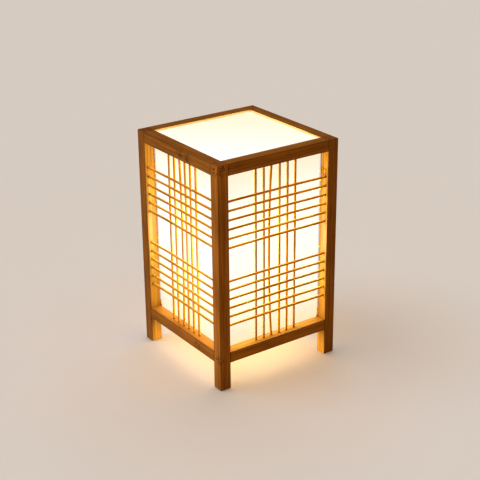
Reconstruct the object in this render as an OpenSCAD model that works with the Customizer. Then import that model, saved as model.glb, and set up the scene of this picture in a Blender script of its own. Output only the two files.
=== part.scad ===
// Square table lamp: a bamboo frame on four legs, a lattice of round sticks on
// each side, and a translucent shade that stands inside it round one bulb.
// The origin is on the floor under the middle of the lamp, and +Z is up.
// The front is -Y. Sides and corners count anticlockwise, seen from above.

/* [Frame] */
// Outside width, left to right
lamp_w = 180; // [170:1:240]
// Outside depth, front to back
lamp_d = 180; // [170:1:240]
// Height from the floor to the top of the frame
lamp_h = 296.5; // [280:0.5:360]
// Side of the square posts
post_side = 15; // [14:0.5:20]
// Thickness of the rails, from the outer face inwards
rail_t = 15; // [13:0.5:20]
// Height of the top rails
top_rail_h = 14.5; // [13:0.5:20]
// Height of the bottom rails
bottom_rail_h = 14.5; // [13:0.5:20]
// Clear height of the legs below the bottom rails
leg_h = 36; // [20:0.5:50]
// Radius of the eased long edges
edge_r = 0.5; // [0.2:0.1:1]
// Chamfer round the foot of each leg
foot_chamfer = 0.6; // [0.4:0.1:2]

/* [Frame joints] */
// Thickness of the tenons on the rails
tenon_t = 5; // [4:0.5:6]
// Height of the tenons on the rails
tenon_h = 9; // [6:0.5:10]
// Clearance round a tenon in its mortise
tenon_fit = 0.1; // [0.05:0.05:0.3]
// Gap at the mitre where two tenons meet in a post
mitre_gap = 0.3; // [0.1:0.1:0.6]

/* [Lattice] */
// Diameter of the round sticks
stick_d = 3; // [2:0.1:3.2]
// Number of level sticks in each of the two groups on a side
level_count = 6; // [2:1:6]
// Spacing of the level sticks
level_pitch = 11.9; // [8:0.1:13]
// Height of each level group's middle above or below the window's middle
level_offset = 51.6; // [40:0.1:56]
// Depth of the level sticks' centre lines behind the outer face
level_depth = 5.2; // [3.5:0.1:5.4]
// Number of upright sticks on a side
upright_count = 6; // [2:1:6]
// Spacing of the upright sticks
upright_pitch = 12; // [8:0.1:14]
// Depth of the upright sticks' centre lines behind the outer face
upright_depth = 8.5; // [8.3:0.1:10]
// Depth of the blind hole that takes each end of a stick
hole_depth = 4; // [2:0.1:4.5]
// Clearance round a stick in its hole
stick_fit = 0.05; // [0.02:0.01:0.1]
// Space left past a stick's end in its hole
stick_end_gap = 0.4; // [0.1:0.1:1]

/* [Shade] */
// Gap between the shade and the inner faces of the frame
shade_gap = 1.2; // [0.6:0.1:3]
// Thickness of the sheet that the shade is folded from
shade_t = 0.8; // [0.5:0.1:1.2]
// Outer radius of the shade's folds
fold_r = 1.2; // [1.2:0.1:3]
// Width of the lap where the two ends of the strip are joined
lap_w = 14; // [8:1:25]
// Height of the lap's lower end above the arms
lap_rise = 1; // [0.5:0.5:5]
// Thickness of the top sheet
top_sheet_t = 1; // [0.6:0.1:1.6]
// Depth of the top sheet's upper face below the top of the frame
top_recess = 3; // [2:0.1:4]
// Depth of the groove in the top rails
groove_depth = 4; // [2:0.1:5]
// Clearance of the top sheet in its groove, above and below
groove_fit = 0.15; // [0.05:0.05:0.3]
// Clearance between the top sheet's edges and what they face
sheet_edge_gap = 0.5; // [0.2:0.1:1]

/* [Cross under the shade] */
// Width of the two crossed arms
arm_w = 15; // [14:0.5:20]
// Thickness of the arms
arm_t = 6; // [5:0.5:8]
// Depth of the arms' upper faces below the top of the bottom rails
arm_drop = 3; // [1:0.5:4]
// Clearance between the arms' pointed ends and the rails
arm_fit = 0.15; // [0.05:0.05:0.4]
// Clearance beside the arms where they cross
lap_fit = 0.1; // [0.05:0.05:0.3]
// Depth of the kerf that takes the shade's lower corners
kerf_depth = 1.5; // [0.5:0.1:2.5]
// Clearance beside the shade in its kerf
kerf_fit = 0.12; // [0.05:0.01:0.3]
// Length of each corner block along the rails
block_leg = 32; // [26:1:40]
// Height of the corner blocks
block_h = 5; // [4:0.5:5.5]
// Distance of each screw from the frame's inner corner
screw_inset = 17; // [14:0.5:20]
// Diameter of the screws that hold the arms
screw_d = 3; // [2.5:0.1:3.5]
// Length of the screws under their heads
screw_l = 8.5; // [7:0.5:9.5]
// Clearance round the screws
screw_fit = 0.1; // [0.05:0.05:0.3]

/* [Lampholder] */
// Diameter of the hollow threaded nipple
nipple_d = 9.9; // [9:0.1:12]
// Diameter of the cord's way through the nipple
nipple_bore = 7; // [6:0.1:7.5]
// Clearance round the nipple
nipple_fit = 0.1; // [0.05:0.05:0.3]
// Thickness of the washer below the arms
washer_t = 1.5; // [1:0.1:2]
// Diameter of the washer
washer_d = 18; // [17:0.5:22]
// Width of the nut across its flats
nut_af = 14; // [14:0.5:16]
// Height of the nut
nut_h = 3.5; // [3:0.5:4]
// Length of nipple that stands out below the nut
nipple_tail = 1; // [0.5:0.5:3]
// Outer diameter of the lampholder
holder_d = 38; // [37:0.5:42]
// Wall thickness of the lampholder
holder_wall = 2; // [1.5:0.1:2.5]
// Diameter of the lampholder's foot on the arms
foot_d = 27; // [25:0.5:30]
// Height at which the lampholder's base reaches its full diameter
flare_h = 7; // [5:0.5:9]
// Outer diameter of the hub round the nipple
hub_d = 16; // [15:0.5:17]
// Height of the hub in the base
hub_h = 10; // [8:0.5:12]
// Height of the lampholder's base
base_h = 20; // [18:0.5:24]
// Height of the lampholder's sleeve above the base
sleeve_h = 32; // [30:0.5:36]
// Height of the skirt by which the sleeve is screwed over the base
skirt_h = 5; // [3:0.5:7]
// Clearance between the skirt and the base
skirt_fit = 0.1; // [0.05:0.05:0.3]
// Thickness of the ceramic core
core_t = 7; // [6:0.5:8]
// Inner diameter of the brass screw shell
shell_d = 26.8; // [26.7:0.1:27.2]
// Wall thickness of the screw shell
shell_t = 0.5; // [0.4:0.1:0.8]
// Height of the screw shell
shell_h = 22; // [18:0.5:24]

/* [Bulb] */
// Diameter of the globe
globe_d = 60; // [56:1:70]
// Diameter of the bulb's screw cap
cap_d = 26.2; // [26:0.1:26.4]
// Height of the bulb's screw cap
cap_h = 22.5; // [20:0.5:24]
// Height of the housing between the cap and the globe
housing_h = 34; // [24:0.5:44]
// Diameter of the housing where the globe stands on it
housing_d = 52; // [40:1:54]
// Wall thickness of the globe
globe_t = 1.2; // [0.8:0.1:2]
// Gap between the bulb's tip and the centre contact
tip_gap = 0.3; // [0.2:0.1:0.5]

/* [Hidden] */
eps = 0.01;
$fn = 64;

// The frame's inner faces, and the heights of its parts
inner_w = lamp_w - 2 * max(post_side, rail_t);
inner_d = lamp_d - 2 * max(post_side, rail_t);
bottom_rail_top = leg_h + bottom_rail_h;
top_rail_z = lamp_h - top_rail_h;
window_mid = (bottom_rail_top + top_rail_z) / 2;

// The level sticks' heights and the upright sticks' places along a side
level_z = [
    for (group = [-1, 1], k = [0 : level_count - 1])
        window_mid + group * level_offset + (k - (level_count - 1) / 2) * level_pitch
];
upright_x = [for (k = [0 : upright_count - 1]) (k - (upright_count - 1) / 2) * upright_pitch];

// The cross, from its upper faces down to the nipple's lower end
arm_top = bottom_rail_top - arm_drop;
arm_z = arm_top - arm_t;
block_z = arm_z - block_h;
washer_z = arm_z - washer_t;
nut_z = washer_z - nut_h;
nipple_z = nut_z - nipple_tail;
cross_turn = atan2(inner_d, inner_w);
half_diagonal = norm([inner_w, inner_d]) / 2;
screw_reach = half_diagonal - screw_inset;
screw_head_d = 2 * screw_d;
screw_head_h = screw_d / 2;

// The shade stands in the arms' kerf and ends just under the top sheet
shade_w = inner_w - 2 * shade_gap;
shade_d = inner_d - 2 * shade_gap;
shade_z = arm_top - kerf_depth;
top_sheet_z = lamp_h - top_recess - top_sheet_t;
shade_top = top_sheet_z - groove_fit;

// The lampholder and the bulb, upwards from the arms
core_z = arm_top + base_h - core_t / 2;
core_top = core_z + core_t;
core_fit = 0.2;
core_d = holder_d - 2 * holder_wall - 2 * core_fit;
seat_w = 1.8;
seat_h = 2;
mouth_gap = 1;
mouth_chamfer = 1;
contact_t = 0.5;
contact_w = 6;
contact_foot_l = 6.3;
contact_leg_l = 4.2;
contact_tongue_l = 7;
contact_rise = 3;
terminal_d = 4;
terminal_h = 4;
terminal_fit = 0.1;
terminal_reach = 9;
shell_floor = 1;
shell_floor_w = 3;
tip_z = core_top + contact_rise + contact_t + tip_gap;
tip_h = 1.2;
tip_d = 9;
insulator_h = 3;
insulator_d = 11;
cap_cone = 2;
cap_wall = 0.6;
cap_z = tip_z + tip_h + insulator_h;
housing_z = cap_z + cap_h;
housing_lip = 1.2;
globe_sink = 0.5;
globe_mid = housing_z + housing_h + sqrt(pow(globe_d, 2) - pow(housing_d, 2)) / 2 - globe_sink;

SIDES = ["front", "right", "back", "left"];
CORNERS = ["front_left", "front_right", "back_right", "back_left"];

// How far a side's outer face is from the middle, and how long its rails are
function side_reach(side) = (side % 2 == 0 ? lamp_d : lamp_w) / 2;
function rail_length(side) = (side % 2 == 0 ? lamp_w : lamp_d) - 2 * post_side;

// Turns a piece made for the front on to another side. A side's own frame has
// X along it, Y from its outer face inwards and Z up.
module on_side(side) {
    rotate([0, 0, 90 * side])
        translate([0, -side_reach(side), 0])
            children();
}

// Turns a piece made for the front left corner on to another corner. A corner's
// own frame starts at its outer edge, with X and Y along its two outer faces.
module on_corner(corner) {
    right = corner == 1 || corner == 2;
    back = corner == 2 || corner == 3;
    translate([(right ? 1 : -1) * lamp_w / 2, (back ? 1 : -1) * lamp_d / 2, 0])
        rotate([0, 0, 90 * corner])
            children();
}

// A rectangle with eased corners, from the origin
module eased_rectangle(w, h, r) {
    translate([r, 0])
        square([w - 2 * r, h]);
    translate([0, r])
        square([w, h - 2 * r]);
    for (x = [r, w - r], y = [r, h - r])
        translate([x, y])
            circle(r);
}

// A post's side view, with its foot chamfered and its outer top edge eased
module post_view() {
    polygon([
        [foot_chamfer, 0], [post_side - foot_chamfer, 0],
        [post_side, foot_chamfer], [post_side, lamp_h],
        [edge_r, lamp_h], [0, lamp_h - edge_r], [0, foot_chamfer]
    ]);
}

// The angled socket where the tenons of two rails meet, in a corner's frame
module mortise(rail_z, rail_h) {
    near = (rail_t - tenon_t) / 2 - tenon_fit;
    wide = tenon_t + 2 * tenon_fit;
    translate([0, 0, rail_z + (rail_h - tenon_h) / 2 - tenon_fit])
        linear_extrude(tenon_h + 2 * tenon_fit) {
            translate([near, near])
                square([post_side - near + eps, wide]);
            translate([near, near])
                square([wide, post_side - near + eps]);
        }
}

// The blind holes for the level sticks of the two sides that meet at a post
module level_holes() {
    for (z = level_z) {
        translate([post_side - hole_depth, level_depth, z])
            rotate([0, 90, 0])
                cylinder(h = hole_depth + eps, d = stick_d + 2 * stick_fit);
        translate([level_depth, post_side - hole_depth, z])
            rotate([-90, 0, 0])
                cylinder(h = hole_depth + eps, d = stick_d + 2 * stick_fit);
    }
}

module post(corner) {
    color("#8a5526")
        on_corner(corner)
            difference() {
                intersection() {
                    linear_extrude(lamp_h)
                        eased_rectangle(post_side, post_side, edge_r);
                    translate([0, post_side, 0])
                        rotate([90, 0, 0])
                            linear_extrude(post_side)
                                post_view();
                    rotate([90, 0, 90])
                        linear_extrude(post_side)
                            post_view();
                }
                mortise(leg_h, bottom_rail_h);
                mortise(top_rail_z, top_rail_h);
                level_holes();
            }
}

// A tenon seen from above, on a rail's right end. Its end is mitred, longer on
// the outer side, to meet the next rail's tenon inside the post.
module tenon_view(length) {
    near = (rail_t - tenon_t) / 2;
    far = near + tenon_t;
    shoulder = length / 2;
    polygon([
        [shoulder - eps, near],
        [shoulder + post_side - near - mitre_gap, near],
        [shoulder + post_side - far - mitre_gap, far],
        [shoulder - eps, far]
    ]);
}

// A rail between two posts, in a side's frame, with its lower face at z = 0
module rail(length, height) {
    translate([-length / 2, 0, 0])
        rotate([90, 0, 90])
            linear_extrude(length)
                eased_rectangle(rail_t, height, edge_r);
    for (end = [0, 1])
        mirror([end, 0, 0])
            translate([0, 0, (height - tenon_h) / 2])
                linear_extrude(tenon_h)
                    tenon_view(length);
}

// The blind holes for a side's upright sticks, upwards from z = 0
module upright_holes() {
    for (x = upright_x)
        translate([x, upright_depth, 0])
            cylinder(h = hole_depth + eps, d = stick_d + 2 * stick_fit);
}

module top_rail(side) {
    length = rail_length(side);
    color("#8a5526")
        on_side(side)
            difference() {
                translate([0, 0, top_rail_z])
                    rail(length, top_rail_h);
                translate([0, 0, top_rail_z - eps])
                    upright_holes();
                translate([-length / 2 - eps, rail_t - groove_depth, top_sheet_z - groove_fit])
                    cube([length + 2 * eps, groove_depth + eps, top_sheet_t + 2 * groove_fit]);
            }
}

module bottom_rail(side) {
    color("#8a5526")
        on_side(side)
            difference() {
                translate([0, 0, leg_h])
                    rail(rail_length(side), bottom_rail_h);
                translate([0, 0, bottom_rail_top - hole_depth])
                    upright_holes();
            }
}

// One group of level sticks, from post to post: 0 is the lower, 1 the upper
module level_sticks(side, group) {
    reach = hole_depth - stick_end_gap;
    length = rail_length(side) + 2 * reach;
    color("#c98a3c")
        on_side(side)
            for (k = [0 : level_count - 1])
                translate([-length / 2, level_depth, level_z[group * level_count + k]])
                    rotate([0, 90, 0])
                        cylinder(h = length, d = stick_d);
}

// The upright sticks, from the bottom rail to the top rail
module upright_sticks(side) {
    reach = hole_depth - stick_end_gap;
    color("#d9a050")
        on_side(side)
            for (x = upright_x)
                translate([x, upright_depth, bottom_rail_top - reach])
                    cylinder(h = top_rail_z - bottom_rail_top + 2 * reach, d = stick_d);
}

// A rectangle with round corners, centred on the origin
module shade_outline(w, d, r) {
    translate([-w / 2, -d / 2])
        eased_rectangle(w, d, r);
}

// One strip folded round four corners. Its end laps inside the back wall, and
// is cut short below so that it clears the arm in that corner.
module shade_wrap() {
    lap_z = arm_top + lap_rise;
    color("#fff2d0")
        union() {
            translate([0, 0, shade_z])
                linear_extrude(shade_top - shade_z)
                    difference() {
                        shade_outline(shade_w, shade_d, fold_r);
                        shade_outline(shade_w - 2 * shade_t, shade_d - 2 * shade_t, fold_r - shade_t);
                    }
            translate([shade_w / 2 - shade_t - lap_w, shade_d / 2 - 2 * shade_t, lap_z])
                cube([lap_w + eps, shade_t + eps, shade_top - lap_z]);
        }
}

// The sheet's edges lie in the rails' grooves, and its corners clear the posts
module top_sheet() {
    into = 2 * (groove_depth - sheet_edge_gap);
    clear = 2 * (post_side - rail_t + sheet_edge_gap);
    full_w = lamp_w - 2 * rail_t + into;
    full_d = lamp_d - 2 * rail_t + into;
    color("#fff8e6")
        translate([0, 0, top_sheet_z])
            linear_extrude(top_sheet_t)
                union() {
                    square([full_w, full_d - into - clear], center = true);
                    square([full_w - into - clear, full_d], center = true);
                }
}

// Places a piece on an arm's line at a distance from the middle. Arm 0 runs
// from the front left corner to the back right one, and arm 1 the other way.
module on_arm(arm, reach) {
    rotate([0, 0, arm == 0 ? cross_turn : -cross_turn])
        translate([reach, 0, 0])
            children();
}

// A screw with a flat countersunk head, whose upper face is at z = 0
module screw(fit) {
    translate([0, 0, -screw_head_h - screw_l])
        cylinder(h = screw_head_h + screw_l, d = screw_d + 2 * fit);
    translate([0, 0, -screw_head_h - fit])
        cylinder(h = screw_head_h, d1 = screw_d + 2 * fit, d2 = screw_head_d + 2 * fit);
    if (fit > 0)
        translate([0, 0, -fit - eps])
            cylinder(h = fit + 2 * eps, d = screw_head_d + 2 * fit);
}

// A triangular block in each inner corner, glued to both bottom rails
module corner_blocks() {
    color("#a06a30")
        difference() {
            for (sx = [-1, 1], sy = [-1, 1])
                translate([sx * inner_w / 2, sy * inner_d / 2, block_z])
                    linear_extrude(block_h)
                        polygon([[0, 0], [-sx * block_leg, 0], [0, -sy * block_leg]]);
            for (arm = [0, 1], end = [-1, 1])
                on_arm(arm, end * screw_reach)
                    translate([0, 0, arm_top])
                        screw(screw_fit);
        }
}

// The line that the shade's wall follows in the kerf
module kerf_ring() {
    difference() {
        shade_outline(shade_w + 2 * kerf_fit, shade_d + 2 * kerf_fit, fold_r);
        square([shade_w - 2 * shade_t - 2 * kerf_fit, shade_d - 2 * shade_t - 2 * kerf_fit],
            center = true);
    }
}

// An arm from corner to corner. Its ends are pointed to fit the frame's inner
// corners, and half of its thickness is cut away where the other arm crosses.
module cross_arm(arm, notch_z) {
    color("#a06a30")
        difference() {
            translate([0, 0, arm_z])
                linear_extrude(arm_t)
                    intersection() {
                        on_arm(arm, 0)
                            square([2 * half_diagonal, arm_w], center = true);
                        square([inner_w - 2 * arm_fit, inner_d - 2 * arm_fit], center = true);
                    }
            translate([0, 0, notch_z])
                linear_extrude(arm_t / 2 + eps)
                    on_arm(1 - arm, 0)
                        square([half_diagonal, arm_w + 2 * lap_fit], center = true);
            translate([0, 0, arm_top - kerf_depth])
                linear_extrude(kerf_depth + eps)
                    kerf_ring();
            for (end = [-1, 1])
                on_arm(arm, end * screw_reach)
                    translate([0, 0, arm_top])
                        screw(screw_fit);
            translate([0, 0, arm_z - eps])
                cylinder(h = arm_t + 2 * eps, d = nipple_d + 2 * nipple_fit);
        }
}

module cross_arm_lower() {
    cross_arm(0, arm_z + arm_t / 2);
}

module cross_arm_upper() {
    cross_arm(1, arm_z - eps);
}

module cross_screws() {
    color("#c8b060")
        for (arm = [0, 1], end = [-1, 1])
            on_arm(arm, end * screw_reach)
                translate([0, 0, arm_top])
                    screw(0);
}

// A straight tube
module tube(height, outer_d, inner_d) {
    difference() {
        cylinder(h = height, d = outer_d);
        translate([0, 0, -eps])
            cylinder(h = height + 2 * eps, d = inner_d);
    }
}

module nipple() {
    color("#c8b060")
        translate([0, 0, nipple_z])
            tube(arm_top + hub_h - nipple_z, nipple_d, nipple_bore);
}

module nipple_washer() {
    color("#b8b8b8")
        translate([0, 0, washer_z])
            tube(washer_t, washer_d, nipple_d + 2 * nipple_fit);
}

module nipple_nut() {
    color("#c8b060")
        translate([0, 0, nut_z])
            difference() {
                cylinder(h = nut_h, d = nut_af / cos(30), $fn = 6);
                translate([0, 0, -eps])
                    cylinder(h = nut_h + 2 * eps, d = nipple_d + 2 * nipple_fit);
            }
}

// A turned cup with a threaded hub in its floor and a ledge for the core. Its
// rim is thinned on the outside for the sleeve's skirt.
module holder_base() {
    outer = holder_d / 2;
    inner = outer - holder_wall;
    rim = outer - holder_wall / 2;
    hole = nipple_d / 2 + nipple_fit;
    hub = hub_d / 2;
    foot = foot_d / 2;
    ledge = base_h - core_t / 2;
    color("#f2f0ea")
        translate([0, 0, arm_top])
            rotate_extrude()
                polygon(concat(
                    [[hole, 0]],
                    [for (a = [0 : 15 : 90])
                        [foot + (outer - foot) * sin(a), flare_h * (1 - cos(a))]],
                    [
                        [outer, base_h - skirt_h], [rim, base_h - skirt_h], [rim, base_h],
                        [inner, base_h], [inner, ledge], [inner - seat_w, ledge],
                        [inner - seat_w, flare_h + holder_wall], [foot - holder_wall / 2, holder_wall],
                        [hub, holder_wall], [hub, hub_h], [hole, hub_h]
                    ]
                ));
}

// The sleeve's skirt is screwed over the base's rim until its inner shoulder
// holds the core down. Its mouth turns in round the screw shell.
module holder_sleeve() {
    outer = holder_d / 2;
    inner = outer - holder_wall;
    skirt = outer - holder_wall / 2 + skirt_fit;
    shoulder = core_t / 2 + skirt_fit;
    mouth = shell_d / 2 + shell_t + mouth_gap;
    color("#f2f0ea")
        translate([0, 0, arm_top + base_h])
            rotate_extrude()
                polygon([
                    [skirt, -skirt_h], [outer, -skirt_h], [outer, sleeve_h - mouth_chamfer],
                    [outer - mouth_chamfer, sleeve_h], [mouth, sleeve_h],
                    [mouth, sleeve_h - holder_wall],
                    [inner, sleeve_h - 2 * holder_wall], [inner, shoulder + seat_h],
                    [inner - seat_w, shoulder + seat_h], [inner - seat_w, shoulder],
                    [inner, shoulder], [inner, skirt_fit], [skirt, skirt_fit]
                ]);
}

// A ceramic disc with a socket for each terminal screw in its underside
module holder_core() {
    color("#ece8dd")
        translate([0, 0, core_z])
            difference() {
                cylinder(h = core_t, d = core_d);
                for (x = [-terminal_reach, terminal_reach])
                    translate([x, 0, -eps])
                        cylinder(h = terminal_h + eps, d = terminal_d + 2 * terminal_fit);
            }
}

// A thin brass cup. Its floor ring lies on the core round the centre contact.
module screw_shell() {
    outer = shell_d / 2 + shell_t;
    hole = outer - shell_floor_w;
    color("#d8b45a")
        translate([0, 0, core_top])
            rotate_extrude()
                polygon([
                    [hole, 0], [outer, 0], [outer, shell_h], [outer - shell_t, shell_h],
                    [outer - shell_t, shell_floor], [hole, shell_floor]
                ]);
}

// A bent strip: a foot on the core, a sloping leg, and a tongue under the bulb
module centre_contact() {
    tongue_end = contact_leg_l + contact_tongue_l;
    color("#d8b45a")
        translate([-contact_leg_l - contact_tongue_l / 2, contact_w / 2, core_top])
            rotate([90, 0, 0])
                linear_extrude(contact_w)
                    polygon([
                        [0, 0], [contact_foot_l, 0], [contact_foot_l, contact_t],
                        [contact_t, contact_t], [contact_leg_l, contact_rise],
                        [tongue_end, contact_rise], [tongue_end, contact_rise + contact_t],
                        [contact_leg_l - contact_t / 2, contact_rise + contact_t], [0, contact_t]
                    ]);
}

module terminal_screws() {
    color("#c8b060")
        for (x = [-terminal_reach, terminal_reach])
            translate([x, 0, core_z])
                cylinder(h = terminal_h, d = terminal_d);
}

module bulb_tip() {
    color("#c0c0c0")
        translate([0, 0, tip_z])
            cylinder(h = tip_h, d1 = tip_d - 2 * tip_h, d2 = tip_d);
}

module bulb_insulator() {
    color("#26262a")
        translate([0, 0, tip_z + tip_h])
            cylinder(h = insulator_h, d1 = insulator_d, d2 = cap_d - 2 * cap_cone);
}

// The screw cap: a thin shell, closed by its lower cone
module bulb_cap() {
    outer = cap_d / 2;
    inner = outer - cap_wall;
    color("#c9c5bb")
        translate([0, 0, cap_z])
            rotate_extrude()
                polygon([
                    [0, 0], [outer - cap_cone, 0], [outer, cap_cone], [outer, cap_h],
                    [inner, cap_h], [inner, cap_cone + cap_wall],
                    [inner - cap_cone, cap_wall], [0, cap_wall]
                ]);
}

// A waisted cone that widens from the cap to the globe: the mean of a straight
// cone and a quarter round
module bulb_housing() {
    low = cap_d / 2 + housing_lip;
    high = housing_d / 2;
    steps = 10;
    color("#f4f2ee")
        translate([0, 0, housing_z])
            rotate_extrude()
                polygon(concat(
                    [[0, 0]],
                    [for (k = [0 : steps])
                        [low + (high - low) * (1 - cos(90 * k / steps) + k / steps) / 2,
                            housing_h * k / steps]],
                    [[0, housing_h]]
                ));
}

// A hollow opal ball, cut off flat where it stands on the housing
module bulb_globe() {
    color("#fffaf0")
        difference() {
            translate([0, 0, globe_mid])
                sphere(d = globe_d);
            translate([0, 0, globe_mid])
                sphere(d = globe_d - 2 * globe_t);
            translate([0, 0, housing_z + housing_h - globe_d])
                cylinder(h = globe_d, d = 2 * globe_d);
        }
}

for (k = [0 : 3]) {
    post(k);
    top_rail(k);
    bottom_rail(k);
    level_sticks(k, 0);
    level_sticks(k, 1);
    upright_sticks(k);
}
shade_wrap();
top_sheet();
corner_blocks();
cross_arm_lower();
cross_arm_upper();
cross_screws();
nipple();
nipple_washer();
nipple_nut();
holder_base();
holder_sleeve();
holder_core();
screw_shell();
centre_contact();
terminal_screws();
bulb_tip();
bulb_insulator();
bulb_cap();
bulb_housing();
bulb_globe();
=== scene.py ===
"""Looks of the square bamboo table lamp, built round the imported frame.

The file is laid out as an add-on: property groups hold the sizes and colours,
each group of pieces has an operator, and a panel in the 3D view lists them.
All lengths are in metres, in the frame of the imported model: the origin is on
the floor under the middle of the lamp, the front is -Y and +Z is up.
"""
import math

import bpy
import numpy as np
from bpy.props import FloatProperty, FloatVectorProperty, IntProperty, PointerProperty
from mathutils import Matrix, Vector


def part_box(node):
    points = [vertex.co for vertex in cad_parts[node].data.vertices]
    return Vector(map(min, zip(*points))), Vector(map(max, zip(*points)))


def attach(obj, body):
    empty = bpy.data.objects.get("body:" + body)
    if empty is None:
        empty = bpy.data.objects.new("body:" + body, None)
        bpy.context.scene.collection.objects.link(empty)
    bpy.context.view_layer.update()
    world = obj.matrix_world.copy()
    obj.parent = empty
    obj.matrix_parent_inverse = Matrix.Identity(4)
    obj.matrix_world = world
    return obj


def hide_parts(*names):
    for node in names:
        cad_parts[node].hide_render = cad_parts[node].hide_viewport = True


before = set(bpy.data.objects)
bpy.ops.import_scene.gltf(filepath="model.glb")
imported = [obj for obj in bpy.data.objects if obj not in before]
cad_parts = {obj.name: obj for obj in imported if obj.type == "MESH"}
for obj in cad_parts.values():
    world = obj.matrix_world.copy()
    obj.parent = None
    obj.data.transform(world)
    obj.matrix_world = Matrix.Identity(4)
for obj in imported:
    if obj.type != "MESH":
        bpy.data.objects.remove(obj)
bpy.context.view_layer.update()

bl_info = {
    "name": "Bamboo Table Lamp",
    "version": (1, 0, 0),
    "blender": (4, 5, 0),
    "location": "3D View > Sidebar > Lamp",
    "description": "Finishes, sticks, shade, fittings, bulb and stage of a bamboo table lamp",
    "category": "Object",
}

MM = 0.001
SIDES = ("front", "right", "back", "left")
RAIL_LOW, RAIL_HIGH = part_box("bottom_rail_front")
TOP_RAIL_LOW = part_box("top_rail_front")[0]
POST_LOW, POST_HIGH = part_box("post_front_left")
SHADE_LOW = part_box("shade_wrap")[0]
SHEET_LOW, SHEET_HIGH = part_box("top_sheet")
WINDOW_MID = (RAIL_HIGH.z + TOP_RAIL_LOW.z) / 2
# A point this near a turned piece's radius is on its outer wall
SKIN = 0.05 * MM


# Colours and nodes

def linear(hex_colour):
    """Turns an sRGB hex colour into the linear values that the shaders take."""
    digits = hex_colour.lstrip("#")
    parts = [int(digits[k:k + 2], 16) / 255 for k in (0, 2, 4)]
    return tuple(c / 12.92 if c <= 0.04045 else ((c + 0.055) / 1.055) ** 2.4 for c in parts)


def rgba(colour):
    """A colour with full alpha, as colour sockets take it."""
    return (*colour[:3], 1.0)


def add_node(tree, kind, inputs=(), **settings):
    """Adds a node. settings are its own values. inputs gives each socket a value,
    or a node or output to link, by name or in the order of the sockets in use."""
    made = tree.nodes.new("ShaderNode" + kind)
    for name, value in settings.items():
        setattr(made, name, value)
    if isinstance(inputs, dict):
        pairs = [(made.inputs[name], value) for name, value in inputs.items()]
    else:
        pairs = zip([socket for socket in made.inputs if socket.enabled], inputs)
    for socket, value in pairs:
        if isinstance(value, bpy.types.Node):
            value = next(out for out in value.outputs if out.enabled)
        if isinstance(value, bpy.types.NodeSocket):
            tree.links.new(value, socket)
        else:
            socket.default_value = value
    return made


def new_material(name):
    """An empty material, its node tree and its object coordinates."""
    material = bpy.data.materials.new(name)
    material.use_nodes = True
    tree = material.node_tree
    tree.nodes.clear()
    return material, tree, add_node(tree, "TexCoord")


def give(names, material):
    """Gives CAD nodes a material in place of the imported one."""
    for name in names:
        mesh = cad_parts[name].data
        mesh.materials.clear()
        mesh.materials.append(material)


# Surfaces worked out with numpy

def quads(rows, columns, wrap_rows=False):
    """The faces of a grid whose columns close on themselves: each face joins a
    point to the next one along its column and its row."""
    last = rows if wrap_rows else rows - 1
    row, column = np.meshgrid(np.arange(last), np.arange(columns), indexing="ij")
    below, beside = (row + 1) % rows, (column + 1) % columns
    corners = [row * columns + column, row * columns + beside,
               below * columns + beside, below * columns + column]
    return np.stack(corners, -1).reshape(-1, 4)


def add_piece(name, points, faces, material, body, stands_for):
    """Makes a smooth mesh piece from points and faces, lets it ride on its body,
    and hides the CAD nodes that it stands for."""
    mesh = bpy.data.meshes.new(name)
    mesh.from_pydata(points.reshape(-1, 3).tolist(), [], [list(map(int, f)) for f in faces])
    mesh.polygons.foreach_set("use_smooth", np.ones(len(mesh.polygons), bool))
    mesh.materials.append(material)
    mesh.update()
    piece = bpy.data.objects.new(name, mesh)
    bpy.context.scene.collection.objects.link(piece)
    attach(piece, body)
    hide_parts(*stands_for)
    return piece


def stations(outline, step):
    """Adds points to a closed outline, so that none of its lines is longer than
    step: each line is cut into equal parts."""
    cut = []
    for start, end in zip(outline, np.roll(outline, -1, axis=0)):
        count = max(1, math.ceil(np.linalg.norm(end - start) / step))
        cut.append(start + (end - start) * np.arange(count)[:, None] / count)
    return np.concatenate(cut)


def turned(outline, sides, shift=None):
    """A closed outline of radius and height, carried round the Z axis. shift gives
    how far a point moves outwards, from its radius, height and angle."""
    radius, height = outline[:, :1], outline[:, 1:]
    angle = np.linspace(0, 2 * math.pi, sides, endpoint=False)[None, :]
    if shift is not None:
        radius = radius + shift(radius, height, angle)
    radius, height, angle = np.broadcast_arrays(radius, height, angle)
    points = np.stack([radius * np.cos(angle), radius * np.sin(angle), height], -1)
    return points, quads(len(outline), sides, wrap_rows=True)


def smooth(value, low, high):
    """Rises from 0 at low to 1 at high, with level ends."""
    share = np.clip((value - low) / (high - low), 0, 1)
    return share * share * (3 - 2 * share)


# Property groups

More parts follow.
